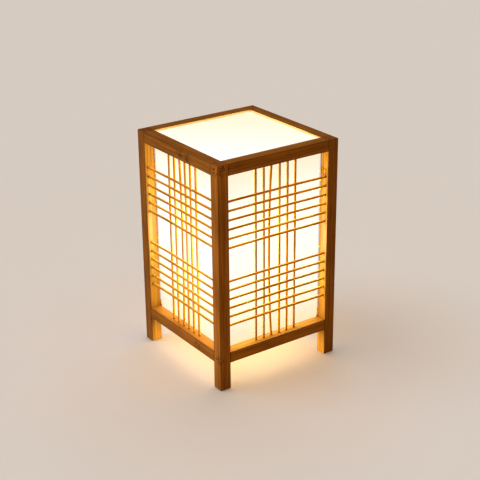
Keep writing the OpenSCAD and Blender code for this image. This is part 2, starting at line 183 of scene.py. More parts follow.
class LampWoodLooks(bpy.types.PropertyGroup):
    """Finish of the frame, the sticks and the arms."""
    outside: FloatVectorProperty(
        name="Outer faces", description="Carbonised bamboo on the faces that look outwards",
        subtype="COLOR", default=linear("#8C4F13"))
    # Painted glow: the faces round the shade get this lighter colour in place of the light that the
    # lit shade throws on them
    inside: FloatVectorProperty(
        name="Inner faces", description="Less darkened bamboo on the faces round the shade",
        subtype="COLOR", default=linear("#B1732A"))
    end_grain: FloatVectorProperty(
        name="End grain", description="Cut ends of the posts",
        subtype="COLOR", default=linear("#7A400F"))
    sticks: FloatVectorProperty(
        name="Sticks", description="Round sanded bamboo sticks",
        subtype="COLOR", default=linear("#B36A16"))
    arms: FloatVectorProperty(
        name="Arms", description="Planed bamboo without lacquer, under the shade",
        subtype="COLOR", default=linear("#B98B55"))
    strip: FloatProperty(
        name="Strip", description="Thickness of the strips that the frame is glued up from",
        default=5.5 * MM, unit="LENGTH")
    band: FloatProperty(
        name="Band", description="Width of the lighter and darker bands along the grain",
        default=2.2 * MM, unit="LENGTH")
    fibre: FloatProperty(
        name="Fibre", description="Width of a fibre bundle",
        default=0.6 * MM, unit="LENGTH")
    fibre_length: FloatProperty(
        name="Fibre length", description="Length over which a bundle keeps its tone",
        default=45 * MM, unit="LENGTH")
    stick_wander: FloatProperty(
        name="Wander", description="How far a straight stick may leave its line",
        default=0.25 * MM, unit="LENGTH")


class LampShadeLooks(bpy.types.PropertyGroup):
    """Form and finish of the lit shade and top sheet."""
    belly: FloatProperty(
        name="Belly", description="How far the shade's walls stand out between their edges",
        default=0.8 * MM, unit="LENGTH")
    sheet: FloatVectorProperty(
        name="Sheet", description="What the sheet sends back of the light that falls on it",
        subtype="COLOR", default=linear("#706C62"))
    lit: FloatVectorProperty(
        name="Lit", description="Glow of the sheet near the bulb",
        subtype="COLOR", default=(0.93, 0.93, 0.885))
    edge: FloatVectorProperty(
        name="Edge", description="Glow of the sheet far above and below the bulb",
        subtype="COLOR", default=(0.92, 0.775, 0.50))
    lit_reach: FloatProperty(
        name="Lit reach", description="Height above and below the bright middle that stays white",
        default=60 * MM, unit="LENGTH")
    edge_reach: FloatProperty(
        name="Edge reach", description="Height above and below it where the glow is cream",
        default=118 * MM, unit="LENGTH")
    middle: FloatProperty(
        name="Middle", description="Height of the bright middle",
        default=173.5 * MM, unit="LENGTH")


class LampFittingLooks(bpy.types.PropertyGroup):
    """Threads and ribs of the small parts."""
    nipple_pitch: FloatProperty(
        name="Nipple pitch", description="Pitch of the nipple's thread",
        default=1.0 * MM, unit="LENGTH")
    cap_pitch: FloatProperty(
        name="Cap pitch", description="Pitch of the bulb cap's round thread",
        default=3.6 * MM, unit="LENGTH")
    cap_depth: FloatProperty(
        name="Cap depth", description="Depth of the bulb cap's round thread",
        default=0.9 * MM, unit="LENGTH")
    rib_count: IntProperty(
        name="Ribs", description="Grip ribs round the lampholder's sleeve", default=36)
    rib_depth: FloatProperty(
        name="Rib depth", description="Depth between two grip ribs",
        default=0.5 * MM, unit="LENGTH")


class LampStage(bpy.types.PropertyGroup):
    """Floor, light and camera."""
    floor: FloatVectorProperty(
        name="Floor", description="Plain pale floor", subtype="COLOR", default=linear("#D7CBC1"))
    sky: FloatProperty(
        name="Sky", description="Share of the light that comes from all round",
        default=0.5)
    key: FloatProperty(
        name="Key", description="Share of the floor's light that comes from the left",
        default=0.2)
    back: FloatProperty(
        name="Back", description="Share of the floor's light that comes from behind the lamp",
        default=0.15)
    azimuth: FloatProperty(
        name="Azimuth", description="Camera's side angle from the front",
        subtype="ANGLE", default=math.radians(-35.03))
    elevation: FloatProperty(
        name="Elevation", description="Camera's angle above the horizon",
        subtype="ANGLE", default=math.radians(22.98))
    roll: FloatProperty(
        name="Roll", description="Camera's turn about its own line of sight",
        subtype="ANGLE", default=math.radians(-0.52))
    distance: FloatProperty(
        name="Distance", description="From the camera to the point that it looks at",
        unit="LENGTH", default=1.4623)
    focal: FloatProperty(
        name="Focal length", description="Camera's focal length in millimetres", default=85.46)


# Materials

# Each pattern in the wood: the noise values where it is darkest and lightest,
# and the tones that it has there
BANDS = (0.32, 0.68, 0.77, 1.20)
FIBRES = (0.32, 0.68, 0.64, 1.28)
STRIPS = (0.0, 1.0, 0.88, 1.12)
CLOUDS = (0.35, 0.65, 0.88, 1.12)
CLOUD_WIDTH = 50 * MM
# How far apart in the noise two strips may lie
STRIP_JUMP = (9.0, 9.0, 9.0)
# How far before a joint its dark line begins, and where it is fully dark
LINE_START, LINE_FULL = 1.1 * MM, 0.4 * MM
# How far in an arris is at its darkest, where it ends, and how dark it is
ARRIS_FULL, ARRIS_END, ARRIS_TONE = 0.5 * MM, 1.6 * MM, 0.6
# Dots at a node of the cane: the cell that holds one, its core and rim as shares
# of the cell, how much it darkens, and how far from the node the dots reach
DOT_WIDTH, DOT_LENGTH = 2.0 * MM, 2.6 * MM
DOT_CORE, DOT_RIM, DOT_DEPTH = 0.28, 0.55, 0.8
NODE_FULL, NODE_END = 5 * MM, 8 * MM
# A face's distance from the lamp's axis, in metres and negative where it looks
# inwards: the first is still an outer face, and the second fully an inner one
OUTER_FACE, INNER_FACE = -0.02, -0.05
# The least upward part of the normal of a level face
LEVEL_FACE = 0.6
# The way along which the top sheet's glow fades, where the fade begins and ends,
# and its share there of the glow of the edge
FADE_WAY, FADE_PLACES, FADE_SHARES = (0.46, 0.54, 0.0), (-60 * MM, 50 * MM), (0.05, 0.9)
SHEET_GRAIN = 0.6 * MM
# The flow clouds in a moulded part, and their darkest tone
FLOW_WIDTH, FLOW_TONE = 9 * MM, 0.9


def bamboo(name, looks, along, base, inner=None, tone=1.0, joint=None, edges=None, marks=(),
           batch=0.0, sill_glow=0.0, through=0.0):
    """Laminated bamboo: strips glued side by side, each with its own tone, and
    long fibre bundles along them. Matt lacquer fills it, so the gloss is low and
    the relief slight. along is the axis of the grain, 0 to 2, and tone is how
    light the piece is. joint is the middle of the piece, how far from it a glued
    joint lies and how dark that is. edges are the lowest and highest corner of a
    square piece, which is darker along its long edges. marks are the places in
    millimetres of the cane's nodes, which show as clusters of dark dots. batch
    picks other strips for the piece. inner is a lighter colour painted on the
    faces round the shade as the glow of the lit shade, and the sill value is how
    much of that painted glow its upper face below the windows takes. through is
    how much light soaks into a thin piece and comes out again."""
    material, tree, place = new_material(name)
    where = place.outputs["Object"]

    strip_size = [1 / looks.strip] * 3
    strip_size[along] = 0.0
    strips = [0.0] * 3
    strips[along] = batch + 0.5
    cell = add_node(tree, "VectorMath", (where, strip_size, strips), operation="MULTIPLY_ADD")
    cell = add_node(tree, "VectorMath", (cell,), operation="FLOOR")
    strip = add_node(tree, "TexWhiteNoise", {"Vector": cell})

    def streaks(width, length, detail):
        # They run on within a strip and start anew in the next one
        scale = [1 / width] * 3
        scale[along] = 1 / length
        point = add_node(tree, "VectorMath", (where, scale), operation="MULTIPLY")
        point = add_node(tree, "VectorMath", (strip.outputs["Color"], STRIP_JUMP, point),
                         operation="MULTIPLY_ADD")
        return add_node(tree, "TexNoise", {"Vector": point, "Scale": 1.0, "Detail": detail,
                                           "Roughness": 0.6})

    bands = streaks(looks.band, looks.fibre_length * 2, 1.0)
    fibres = streaks(looks.fibre, looks.fibre_length, 3.0)
    clouds = add_node(tree, "TexNoise", {"Vector": where, "Scale": 1 / CLOUD_WIDTH, "Detail": 2.0})

    patterns = (bands, BANDS), (fibres, FIBRES), (strip, STRIPS), (clouds, CLOUDS)
    tones = [add_node(tree, "MapRange", (pattern, *limits)) for pattern, limits in patterns]
    if edges is not None:
        tones.append(dark_arris(tree, where, along, edges))
    if joint is not None:
        # A thin dark line where the piece meets what it is glued to
        middle, reach, dark = joint
        place_along = add_node(tree, "SeparateXYZ", (where,)).outputs[along]
        away = add_node(tree, "Math", (place_along, middle), operation="SUBTRACT")
        away = add_node(tree, "Math", (away,), operation="ABSOLUTE")
        tones.append(add_node(tree, "MapRange",
                              (away, reach - LINE_START, reach - LINE_FULL, 1.0, dark)))
    if marks:
        tones.append(node_marks(tree, where, along, marks))
    shade = tone
    for part in tones:
        shade = add_node(tree, "Math", (shade, part), operation="MULTIPLY")

    surface = tuple(base[:3])
    # Faces round the shade and the sills take the inner colour as a painted glow of the lit shade
    if inner is not None:
        surface = painted_glow_and_end_grain(tree, place, along, base, inner, looks.end_grain, sill_glow)
    colour = add_node(tree, "VectorMath", (surface, shade), operation="SCALE")
    relief = add_node(tree, "Bump", {"Height": fibres, "Strength": 0.35, "Distance": 0.05 * MM})
    rough = add_node(tree, "MapRange", (fibres, 0.3, 0.7, 0.42, 0.56))
    wood = add_node(tree, "BsdfPrincipled", {
        "Base Color": colour, "IOR": 1.5, "Specular IOR Level": 0.02,
        "Roughness": rough, "Normal": relief, "Subsurface Weight": through,
        "Subsurface Radius": (1.0, 0.8, 0.6), "Subsurface Scale": 1.5 * MM})
    add_node(tree, "OutputMaterial", {"Surface": wood})
    return material


def dark_arris(tree, where, along, edges):
    """Six tenths within half a millimetre of the long edges, and 1 off them. The
    distance to the nearest edge is the greater one of the distances to the faces."""
    low, high = edges
    middle, half = (low + high) / 2, (high - low) / 2
    offset = add_node(tree, "VectorMath", (where, middle), operation="SUBTRACT")
    offset = add_node(tree, "VectorMath", (offset,), operation="ABSOLUTE")
    inset = add_node(tree, "VectorMath", (half, offset), operation="SUBTRACT")
    parts = list(add_node(tree, "SeparateXYZ", (inset,)).outputs)
    parts.pop(along)
    away = add_node(tree, "Math", parts, operation="MAXIMUM")
    return add_node(tree, "MapRange", (away, ARRIS_FULL, ARRIS_END, ARRIS_TONE, 1.0))


def node_marks(tree, where, along, marks):
    """Dots of 1 to 2 mm within 8 mm of each node of the cane: 1 off them, and
    down to a fifth where they are darkest."""
    scale = [1 / DOT_WIDTH] * 3
    scale[along] = 1 / DOT_LENGTH
    point = add_node(tree, "VectorMath", (where, scale), operation="MULTIPLY")
    dots = add_node(tree, "TexVoronoi", {"Vector": point, "Scale": 1.0})
    darker = add_node(tree, "MapRange", (dots, DOT_CORE, DOT_RIM, DOT_DEPTH, 0.0))
    near = 0.0
    for centre in marks:
        away = add_node(tree, "VectorMath", (where, [c * MM for c in centre]),
                        operation="DISTANCE")
        within = add_node(tree, "MapRange",
                          (away.outputs["Value"], NODE_END, NODE_FULL, 0.0, 1.0))
        near = add_node(tree, "Math", (near, within), operation="MAXIMUM")
    drop = add_node(tree, "Math", (darker, near), operation="MULTIPLY")
    return add_node(tree, "Math", (1.0, drop), operation="SUBTRACT")


def painted_glow_and_end_grain(tree, place, along, outer, inner, end_grain, sill_glow):
    """The outer colour on faces that look away from the lamp's middle, and the
    inner one, a painted glow of the lit shade, on those that look towards it.
    The level faces below the windows' middle, the sills, take a given share of
    that painted glow. The sawn tops of the posts show the ends of the fibres, and
    are darker."""
    where, normal = place.outputs["Object"], place.outputs["Normal"]
    level = add_node(tree, "VectorMath", (normal, (1.0, 1.0, 0.0)), operation="MULTIPLY")
    outwards = add_node(tree, "VectorMath", (level, where), operation="DOT_PRODUCT")
    inwards = add_node(tree, "MapRange",
                       (outwards.outputs["Value"], OUTER_FACE, INNER_FACE, 0.0, 1.0))
    facing = add_node(tree, "SeparateXYZ", (normal,)).outputs["Z"]
    height = add_node(tree, "SeparateXYZ", (where,)).outputs["Z"]
    upwards = add_node(tree, "Math", (facing, LEVEL_FACE), operation="GREATER_THAN")
    above = add_node(tree, "Math", (height, WINDOW_MID), operation="GREATER_THAN")
    below = add_node(tree, "Math", (1.0, above), operation="SUBTRACT")
    on_sill = add_node(tree, "Math", (upwards, below), operation="MULTIPLY")
    on_sill = add_node(tree, "Math", (on_sill, sill_glow), operation="MULTIPLY")
    # pale is where the painted glow lies: fully on the inner faces, and on the sills by their share
    pale = add_node(tree, "Math", (inwards, on_sill), operation="MAXIMUM")
    surface = add_node(tree, "Mix", (pale, rgba(outer), rgba(inner)), data_type="RGBA")
    if along == 2:
        sawn = add_node(tree, "Math", (upwards, above), operation="MULTIPLY")
        surface = add_node(tree, "Mix", (sawn, surface, rgba(end_grain)), data_type="RGBA")
    return surface


def lit_sheet(name, looks, level):
    """Frosted PVC sheet, calendered and folded: no gloss and an even grain. It
    lets most light through, so its own colour is low, and it glows from the bulb
    behind it: white near the bulb and cream further off. level is for the top
    sheet, whose glow fades from the front left corner to the back right one."""
    material, tree, place = new_material(name)
    where = place.outputs["Object"]
    if level:
        slope = add_node(tree, "VectorMath", (where, FADE_WAY), operation="DOT_PRODUCT")
        fade = add_node(tree, "MapRange", (slope.outputs["Value"], *FADE_PLACES, *FADE_SHARES))
    else:
        height = add_node(tree, "SeparateXYZ", (where,)).outputs["Z"]
        away = add_node(tree, "Math", (height, looks.middle), operation="SUBTRACT")
        away = add_node(tree, "Math", (away,), operation="ABSOLUTE")
        fade = add_node(tree, "MapRange", (away, looks.lit_reach, looks.edge_reach, 0.0, 1.0))
    glow = add_node(tree, "Mix", (fade, rgba(looks.lit), rgba(looks.edge)), data_type="RGBA")
    # The rollers leave an even grain
    grain = add_node(tree, "TexNoise", {"Vector": where, "Scale": 1 / SHEET_GRAIN})
    relief = add_node(tree, "Bump", {"Height": grain, "Strength": 0.25, "Distance": 0.03 * MM})
    sheet = add_node(tree, "BsdfPrincipled", {
        "Base Color": rgba(looks.sheet), "Roughness": 0.55, "IOR": 1.53,
        "Specular IOR Level": 0.25, "Normal": relief,
        "Emission Color": glow, "Emission Strength": 1.0})
    add_node(tree, "OutputMaterial", {"Surface": sheet})
    return material


def metal(name, colour, roughness, grain, turned_marks=False):
    """A bare or plated metal. Turned parts carry fine rings from the tool, and
    pressed ones a soft mottling, so that the gloss varies over the surface."""
    material, tree, place = new_material(name)
    rings = (1.0, 1.0, 6.0) if turned_marks else (1.0, 1.0, 1.0)
    point = add_node(tree, "VectorMath", (place.outputs["Object"], rings), operation="MULTIPLY")
    marks = add_node(tree, "TexNoise", {"Vector": point, "Scale": 1 / grain, "Detail": 3.0,
                                        "Roughness": 0.6})
    rough = add_node(tree, "MapRange", (marks, 0.3, 0.7, roughness * 0.75, roughness * 1.4))
    relief = add_node(tree, "Bump", {"Height": marks, "Strength": 0.2, "Distance": 0.02 * MM})
    bare = add_node(tree, "BsdfPrincipled", {"Base Color": rgba(colour), "Metallic": 1.0,
                                             "Roughness": rough, "Normal": relief})
    add_node(tree, "OutputMaterial", {"Surface": bare})
    return material


def moulded(name, colour, roughness, grain, ior=1.5, glow=0.0):
    """A moulded or fired part of one colour: faint flow clouds in the tone and a
    fine orange peel in the relief. glow makes an opal part lit from inside."""
    material, tree, place = new_material(name)
    where = place.outputs["Object"]
    clouds = add_node(tree, "TexNoise", {"Vector": where, "Scale": 1 / FLOW_WIDTH})
    peel = add_node(tree, "TexNoise", {"Vector": where, "Scale": 1 / grain})
    dim = tuple(c * FLOW_TONE for c in colour[:3])
    tone = add_node(tree, "Mix", (clouds, rgba(dim), rgba(colour)), data_type="RGBA")
    relief = add_node(tree, "Bump", {"Height": peel, "Strength": 0.15, "Distance": 0.03 * MM})
    solid = add_node(tree, "BsdfPrincipled", {
        "Base Color": tone, "Roughness": roughness, "IOR": ior, "Normal": relief,
        "Emission Color": rgba(colour), "Emission Strength": glow})
    add_node(tree, "OutputMaterial", {"Surface": solid})
    return material


# Operators

class LAMP_OT_frame_wood(bpy.types.Operator):
    """Gives the posts and rails their bamboo, with the grain along each"""
    bl_idname = "lamp.frame_wood"
    bl_label = "Frame"

    # Axis of the grain, tone and places of cane nodes in millimetres, by piece
    MEMBERS = {
        "post_front_left": (2, 1.02, ((-83, -90, 290), (-90, -84, 288), (-90, -86, 42))),
        "post_front_right": (2, 0.86, ((75, -81, 254),)),
        "post_back_right": (2, 0.9, ((90, 82, 130),)),
        "post_back_left": (2, 0.86, ((-80, 90, 96),)),
        "top_rail_front": (0, 0.94, ()),
        "top_rail_right": (1, 0.80, ((90, -20, 288),)),
        "top_rail_back": (0, 0.86, ((30, 90, 288),)),
        "top_rail_left": (1, 0.84, ((-90, -10, 291), (-90, -26, 288))),
        "bottom_rail_front": (0, 1.05, ()),
        "bottom_rail_right": (1, 1.0, ((90, 30, 42),)),
        "bottom_rail_back": (0, 1.0, ((-40, 90, 42),)),
        "bottom_rail_left": (1, 1.09, ((-90, -38, 41),)),
    }
    # Pieces that are cut from other strips, and how much painted glow of the lit shade a sill
    # takes: less on the left one, which the key light already reaches
    BATCHES = {"post_front_left": 27.0}
    SILL, SILLS = 0.75, {"bottom_rail_left": 0.1}
    # How dark the joint between a rail and a post is
    JOINT_TONE = 0.55

    def execute(self, context):
        looks = context.scene.lamp_wood
        for name, (along, tone, marks) in self.MEMBERS.items():
            joint = None if along == 2 else (0.0, abs(POST_HIGH.y), self.JOINT_TONE)
            give([name], bamboo(f"carbonised_bamboo_{name}", looks, along, looks.outside,
                                looks.inside, tone, joint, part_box(name), marks,
                                batch=self.BATCHES.get(name, 0.0),
                                sill_glow=self.SILLS.get(name, self.SILL)))
        return {"FINISHED"}


class LAMP_OT_sticks(bpy.types.Operator):
    """Makes the round sticks, each a little off its straight line"""
    bl_idname = "lamp.sticks"
    bl_label = "Sticks"

    # Sticks that are clearly bowed, by group and place, and how far
    BOWED = {
        ("upright_sticks_front", 2): -4.2 * MM,
        ("upright_sticks_left", 2): -1.2 * MM,
        ("upright_sticks_left", 3): -3.2 * MM,
    }
    # How far the level sticks of a side rise towards their two ends
    RISE = {"front": (0.9 * MM, 0.1 * MM), "left": (0.1 * MM, 1.4 * MM)}
    # How light the sticks along each axis are, and how dark where they enter a hole
    TONES, HOLE_TONE = (1.2, 0.88, 1.16), 0.35
    # How much light soaks into a stick
    THROUGH = 0.5
    COUNT, ROWS, AROUND = 6, 41, 16
    HOLE = 3.6 * MM
    # The power of the half sine of a bow, the slow wave's turns and its size as a
    # share of the wander, and the swelling's mean, depth and turns
    BOW_POWER, WAVE_TURNS, WAVE_SHARE = 0.7, 1.5, 0.3
    SWELL, SWELL_DEPTH, SWELL_TURNS = 0.05, 0.015, 2.3

    def execute(self, context):
        looks = context.scene.lamp_wood
        chance = np.random.default_rng(7)
        level = (0.0, abs(POST_HIGH.y), self.HOLE_TONE)
        upright = (WINDOW_MID, WINDOW_MID - RAIL_HIGH.z, self.HOLE_TONE)
        materials = [bamboo(f"sanded_bamboo_stick_{'xyz'[along]}", looks, along, looks.sticks,
                            tone=self.TONES[along], joint=ends, through=self.THROUGH)
                     for along, ends in enumerate((level, level, upright))]
        for side in SIDES:
            for group in ("lower", "upper", "upright"):
                self.make_group(f"{group}_sticks_{side}", looks, chance, materials)
        return {"FINISHED"}

    def make_group(self, group, looks, chance, materials):
        """Six round tubes at once, on a grid of stick, place along it and angle.
        The centre line leaves the straight one by its bow times the 0.7th power
        of a half sine, which starts where the stick leaves its hole. A slow wave
        is added, and on a level stick a rise that runs from end to end, times the
        root of the half sine. The ends are turned down to enter their holes, and
        between them the radius is larger by 5 in 100, give or take 1.5."""
        low, high = (np.array(corner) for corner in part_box(group))
        along = 2 if group.startswith("upright") else int(np.argmax(high - low))
        depth = int(np.argmin(high - low))
        spread = 3 - along - depth
        radius = (high[depth] - low[depth]) / 2
        count, rows, around = self.COUNT, self.ROWS, self.AROUND
        place = np.linspace(low[along], high[along], rows)
        free = np.clip((place - low[along] - self.HOLE)
                       / (high[along] - low[along] - 2 * self.HOLE), 0, 1)
        bow = chance.uniform(-1, 1, (count, 2)) * looks.stick_wander
        for (name, k), size in self.BOWED.items():
            if name == group:
                bow[k, 0] = size
        phase = chance.uniform(0, 2 * math.pi, (count, 1))
        hump = np.sin(math.pi * free) ** self.BOW_POWER
        wave = np.sin(2 * math.pi * self.WAVE_TURNS * free + phase) * hump
        wave = wave * self.WAVE_SHARE * looks.stick_wander
        if along < 2:
            rise = self.RISE.get(group.split("_")[-1], (0.0, 0.0))
            wave += (rise[0] + (rise[1] - rise[0]) * free) * np.sin(math.pi * free) ** 0.5
        swell = np.sin(2 * math.pi * self.SWELL_TURNS * free + 2 * phase)
        swell = (self.SWELL + self.SWELL_DEPTH * swell) * smooth(hump, 0.0, 0.3)
        swell = radius * (1 + swell)
        angle = np.linspace(0, 2 * math.pi, around, endpoint=False)

        centre = np.linspace(low[spread] + radius, high[spread] - radius, count)
        points = np.zeros((count, rows, around, 3))
        points[..., along] = place[None, :, None]
        points[..., spread] = ((centre[:, None] + bow[:, :1] * hump + wave)[..., None]
                               + swell[..., None] * np.cos(angle))
        points[..., depth] = (((low[depth] + high[depth]) / 2 + bow[:, 1:] * hump / 3)[..., None]
                              + swell[..., None] * np.sin(angle))
        side, first, last = quads(rows, around), np.arange(around)[::-1], np.arange(around)
        # The axes' order decides which way round the faces must run
        if (along, spread, depth) not in ((0, 1, 2), (1, 2, 0), (2, 0, 1)):
            side, first, last = side[:, ::-1], last, first
        faces = []
        for k in range(count):
            start = k * rows * around
            faces += list(side + start)
            faces += [first + start, last + start + (rows - 1) * around]
        add_piece(f"{group}_round", points, faces, materials[along], "lamp",
                  [group])


class LAMP_OT_shade(bpy.types.Operator):
    """Makes the folded shade and gives it and the top sheet their lit finish"""
    bl_idname = "lamp.shade"
    bl_label = "Shade"

    WALL = 0.8 * MM
    FOLD = 0.9 * MM
    LAP = 14 * MM
    LAP_RISE = 2.5 * MM
    # The belly begins this far from the shade's edges, and is full this far
    BELLY_START, BELLY_FULL = 2 * MM, 10 * MM
    ROWS, FOLD_POINTS = 64, 7

    def execute(self, context):
        looks = context.scene.lamp_shade
        give(["top_sheet"], lit_sheet("frosted_sheet_level", looks, True))
        wrap = self.make_wrap(looks, lit_sheet("frosted_sheet_folded", looks, False))
        for lit in (wrap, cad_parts["top_sheet"]):
            lit.visible_diffuse = False
        return {"FINISHED"}

    def make_wrap(self, looks, material):
        """The strip round the four corners. Its outline is a square with arcs for
        corners, each point at the arc's centre plus the radius along its angle.
        The wall goes down inside and up outside, and stands out by the belly,
        which rises smoothly above the arms and falls below the top sheet. The
        lap is one more wall inside the back one."""
        low, high = (np.array(corner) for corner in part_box("shade_wrap"))
        wall, fold = self.WALL, self.FOLD

        def profile(start, inset):
            rise = np.linspace(start, high[2], self.ROWS)
            belly = looks.belly
            for away in (rise - low[2], high[2] - rise):
                belly = belly * smooth(away, self.BELLY_START, self.BELLY_FULL)
            inside = np.stack([belly - inset - wall, rise], -1)[::-1]
            return np.concatenate([inside, np.stack([belly - inset, rise], -1)])

        strip = profile(low[2], 0.0)
        count = self.FOLD_POINTS
        turn = np.concatenate([np.linspace(k, k + 1, count) for k in range(4)]) * math.pi / 2
        centre = np.repeat([[1, 1], [-1, 1], [-1, -1], [1, -1]], count, axis=0) * (high[:2] - fold)
        arc = np.stack([np.cos(turn), np.sin(turn)], -1)
        flat = centre + arc * (fold + strip[:, None, :1])
        height = np.broadcast_to(strip[:, None, 1:], flat[..., :1].shape)
        points = np.concatenate([flat, height], -1)
        faces = list(quads(len(strip), len(turn), wrap_rows=True))

        strip = profile(low[2] + self.LAP_RISE, wall)
        x = high[0] - fold - np.array([self.LAP, 0.0])
        lap = np.zeros((2, len(strip), 3))
        lap[..., 0] = x[:, None]
        lap[..., 1], lap[..., 2] = high[1] + strip[:, 0], strip[:, 1]
        ring, start = np.arange(len(strip)), points.size // 3
        faces += list(quads(2, len(strip)) + start)
        faces += [ring[::-1] + start, ring + start + len(strip)]
        both = np.concatenate([points.reshape(-1, 3), lap.reshape(-1, 3)])
        return add_piece("shade_wrap_folded", both, faces, material, "lamp",
                         ["shade_wrap"])


class LAMP_OT_cross(bpy.types.Operator):
    """Gives the crossed arms, the corner blocks and their screws a finish"""
    bl_idname = "lamp.cross"
    bl_label = "Crossed arms"

    def execute(self, context):
        looks = context.scene.lamp_wood
        give(["cross_arm_lower", "cross_arm_upper", "corner_blocks"],
             bamboo("planed_bamboo", looks, 0, looks.arms))
        give(["cross_screws", "nipple_washer"],
             metal("zinc_plated_steel", linear("#C9CBC8"), 0.32, 0.8 * MM))
        return {"FINISHED"}


class LAMP_OT_holder(bpy.types.Operator):
    """Makes the threaded nipple and the ribbed sleeve, and finishes the holder"""
    bl_idname = "lamp.holder"
    bl_label = "Lampholder"

    # The nipple: its bore, the depth of its thread, and its ends' chamfer inwards
    # and along
    BORE, THREAD_DEPTH, CHAMFER_IN, CHAMFER_ALONG = 3.5 * MM, 0.45 * MM, 0.3 * MM, 0.4 * MM
    # The sleeve: its wall, the radius of its mouth, its lower arris, and the middle
    # and end of its rounded upper one
    WALL, MOUTH, ARRIS, ROUND_MID, ROUND_END = 2 * MM, 14.9 * MM, 0.3 * MM, 0.35 * MM, 1.2 * MM
    # The room inside its skirt, and its ledge's reach inwards, place and height
    SKIRT_GAP, SKIRT_HEIGHT = 0.1 * MM, 5.1 * MM
    LEDGE_REACH, LEDGE_PLACE, LEDGE_HEIGHT = 1.8 * MM, 8.6 * MM, 2 * MM
    # Where its ribs begin and are full, from the lower end and from the upper one
    RIBS_LOW, RIBS_HIGH = (6 * MM, 8 * MM), (5 * MM, 7 * MM)

    def execute(self, context):
        looks = context.scene.lamp_fitting
        brass = metal("turned_brass", linear("#D9B25E"), 0.26, 0.5 * MM, turned_marks=True)
        give(["nipple_nut", "screw_shell", "centre_contact", "terminal_screws"], brass)
        white = moulded("moulded_thermoset", linear("#EFEDE6"), 0.3, 1.2 * MM)
        give(["holder_base"], white)
        give(["holder_core"], moulded("fired_steatite", linear("#E6E0D2"), 0.75, 0.5 * MM))
        self.make_nipple(looks, brass)
        self.make_sleeve(looks, white)
        return {"FINISHED"}

    def make_nipple(self, looks, material):
        """A tube whose outer wall is a thread: the radius falls and rises as a
        triangle wave of the height less the turn's share of the pitch."""
        low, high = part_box("nipple")
        outer, tip, along = high.x, high.x - self.CHAMFER_IN, self.CHAMFER_ALONG
        outline = np.array([[self.BORE, high.z], [self.BORE, low.z], [tip, low.z],
                            [outer, low.z + along], [outer, high.z - along], [tip, high.z]])

        def thread(radius, height, angle):
            turn = (height / looks.nipple_pitch - angle / (2 * math.pi)) % 1
            depth = np.minimum(turn, 1 - turn) * 2 * self.THREAD_DEPTH
            return -depth * (radius > outer - SKIN)

        points, faces = turned(stations(outline, looks.nipple_pitch / 4), 48, thread)
        add_piece("nipple_threaded", points, faces, material, "lamp", ["nipple"])

    def make_sleeve(self, looks, material):
        """The turned sleeve, with grip ribs round the middle of its outer wall:
        between two ribs the radius falls by half a cosine."""
        low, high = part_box("holder_sleeve")
        outer, wall = high.x, self.WALL
        inner, skirt = outer - wall, outer - wall / 2 + self.SKIRT_GAP
        seat, ledge = inner - self.LEDGE_REACH, low.z + self.LEDGE_PLACE
        shelf, rim = ledge + self.LEDGE_HEIGHT, low.z + self.SKIRT_HEIGHT
        outline = np.array([
            [skirt, low.z], [outer - self.ARRIS, low.z], [outer, low.z + self.ARRIS],
            [outer, high.z - self.ROUND_END], [outer - self.ROUND_MID, high.z - self.ROUND_MID],
            [outer - self.ROUND_END, high.z], [self.MOUTH, high.z], [self.MOUTH, high.z - wall],
            [inner, high.z - 2 * wall], [inner, shelf], [seat, shelf], [seat, ledge],
            [inner, ledge], [inner, rim], [skirt, rim]])

        def ribs(radius, height, angle):
            band = smooth(height - low.z, *self.RIBS_LOW) * smooth(high.z - height, *self.RIBS_HIGH)
            groove = 0.5 - 0.5 * np.cos(looks.rib_count * angle)
            return -looks.rib_depth * band * groove * (radius > outer - SKIN)

        points, faces = turned(stations(outline, 1 * MM), 6 * looks.rib_count, ribs)
        add_piece("holder_sleeve_ribbed", points, faces, material, "lamp",
                  ["holder_sleeve"])


class LAMP_OT_bulb(bpy.types.Operator):
    """Makes the threaded bulb cap and finishes the rest of the bulb"""
    bl_idname = "lamp.bulb"
    bl_label = "Bulb"

    # The profile of the cap's cone in millimetres, outside and inside: how far in
    # from its radius and how far up. Its wall, and the hole that the glass fills
    CONE_OUT = ((2.0, 0.0), (0.3, 2.0), (0.0, 3.0))
    CONE_IN = ((0.5, 3.0), (0.8, 2.2), (2.3, 0.5))
    WALL, HOLE = 0.5 * MM, 4 * MM
    # Where its thread begins and is full, from the lower end and from the upper one
    THREAD_LOW, THREAD_HIGH = (2.5 * MM, 5 * MM), (3 * MM, 5.5 * MM)

    def execute(self, context):
        looks = context.scene.lamp_fitting
        nickel = metal("nickel_plated_cap", linear("#CFCBC1"), 0.24, 1.5 * MM)
        give(["bulb_tip"], nickel)
        give(["bulb_insulator"], moulded("black_glass", linear("#15151A"), 0.12, 2 * MM))
        give(["bulb_housing"],
             moulded("moulded_polycarbonate", linear("#F3F1EC"), 0.35, 1.5 * MM, ior=1.58))
        give(["bulb_globe"],
             moulded("opal_polycarbonate", linear("#FFF4DC"), 0.4, 1.5 * MM, ior=1.58, glow=4.0))
        self.make_cap(looks, nickel)
        return {"FINISHED"}

    def make_cap(self, looks, material):
        """The thin cap with its round thread: both walls move inwards by half a
        cosine of the height less the turn's share of the pitch, and the wave
        fades out towards the collar and the cone."""
        low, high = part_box("bulb_cap")
        outer = high.x
        out, into = ([[outer - inset * MM, low.z + rise * MM] for inset, rise in cone]
                     for cone in (self.CONE_OUT, self.CONE_IN))
        outline = np.array([[self.HOLE, low.z], *out, [outer, high.z], [outer - self.WALL, high.z],
                            *into, [self.HOLE, low.z + self.WALL]])

        def thread(radius, height, angle):
            turn = height / looks.cap_pitch - angle / (2 * math.pi)
            band = (smooth(height - low.z, *self.THREAD_LOW)
                    * smooth(high.z - height, *self.THREAD_HIGH))
            return -looks.cap_depth * band * (0.5 - 0.5 * np.cos(2 * math.pi * turn))

        points, faces = turned(stations(outline, looks.cap_pitch / 9), 72, thread)
        add_piece("bulb_cap_threaded", points, faces, material, "bulb",
                  ["bulb_cap"])


